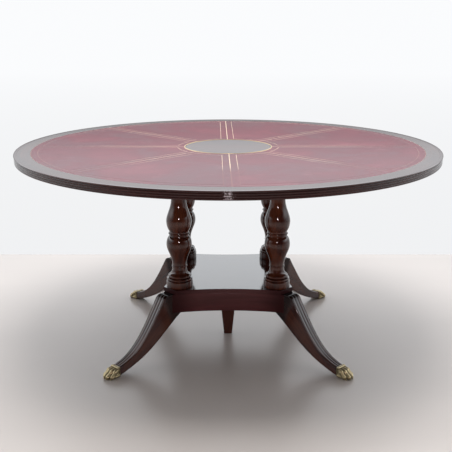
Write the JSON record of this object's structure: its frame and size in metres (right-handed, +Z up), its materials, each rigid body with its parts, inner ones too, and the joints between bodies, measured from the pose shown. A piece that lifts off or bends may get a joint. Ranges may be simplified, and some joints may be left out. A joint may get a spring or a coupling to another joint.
{
  "type": "round pedestal table",
  "caption": "Round leather-panelled mahogany table on turned columns, a hollow-sided platform and splayed reeded legs with brass paw feet.",
  "frame": {"origin": "on the floor, under the centre of the top and of the support leg", "axes": "+Z up, front towards -Y, +X to the right seen from the front; the four legs point along the diagonals"},
  "size_m": [1.5498, 1.5498, 0.742],
  "materials": {
    "mahogany": "dark red mahogany, high polish",
    "mahogany_veneer": "dark red mahogany veneer, high polish",
    "leather": "burgundy skiver leather with gilt tooling, satin",
    "cast_brass": "cast brass, aged and rubbed",
    "brass_string": "bright brass inlay",
    "beech": "plain unpolished beech",
    "core_board": "sanded board, sealed",
    "steel": "zinc plated"
  },
  "bodies": {
    "root": {"top_core": "core_board", "edge_moulding_front": "mahogany", "edge_moulding_right": "mahogany", "edge_moulding_back": "mahogany", "edge_moulding_left": "mahogany", "border_veneer_front": "mahogany_veneer", "border_veneer_right": "mahogany_veneer", "border_veneer_back": "mahogany_veneer", "border_veneer_left": "mahogany_veneer", "leather_panel_1": "leather", "leather_panel_2": "leather", "leather_panel_3": "leather", "leather_panel_4": "leather", "leather_panel_5": "leather", "leather_panel_6": "leather", "leather_panel_7": "leather", "leather_panel_8": "leather", "centre_disc": "mahogany_veneer", "disc_string": "brass_string", "bearer_front": "beech", "bearer_back": "beech", "rail_left": "beech", "rail_right": "beech", "bearer_screws": "steel", "column_front_left": "mahogany", "column_front_right": "mahogany", "column_back_left": "mahogany", "column_back_right": "mahogany", "platform_board": "mahogany_veneer", "apron_front": "mahogany", "apron_right": "mahogany", "apron_back": "mahogany", "apron_left": "mahogany", "corner_block_front_left": "beech", "corner_block_front_right": "beech", "corner_block_back_left": "beech", "corner_block_back_right": "beech", "glue_blocks": "beech", "block_screws": "steel", "centre_rail": "beech", "centre_block": "beech", "support_leg": "mahogany", "leg_front_left": "mahogany", "leg_front_right": "mahogany", "leg_back_left": "mahogany", "leg_back_right": "mahogany", "leg_studs": "steel", "leg_washers": "steel", "leg_nuts": "steel", "paw_cap_front_left": "cast_brass", "paw_cap_front_right": "cast_brass", "paw_cap_back_left": "cast_brass", "paw_cap_back_right": "cast_brass", "paw_pins": "cast_brass"}
  },
  "joints": []
}
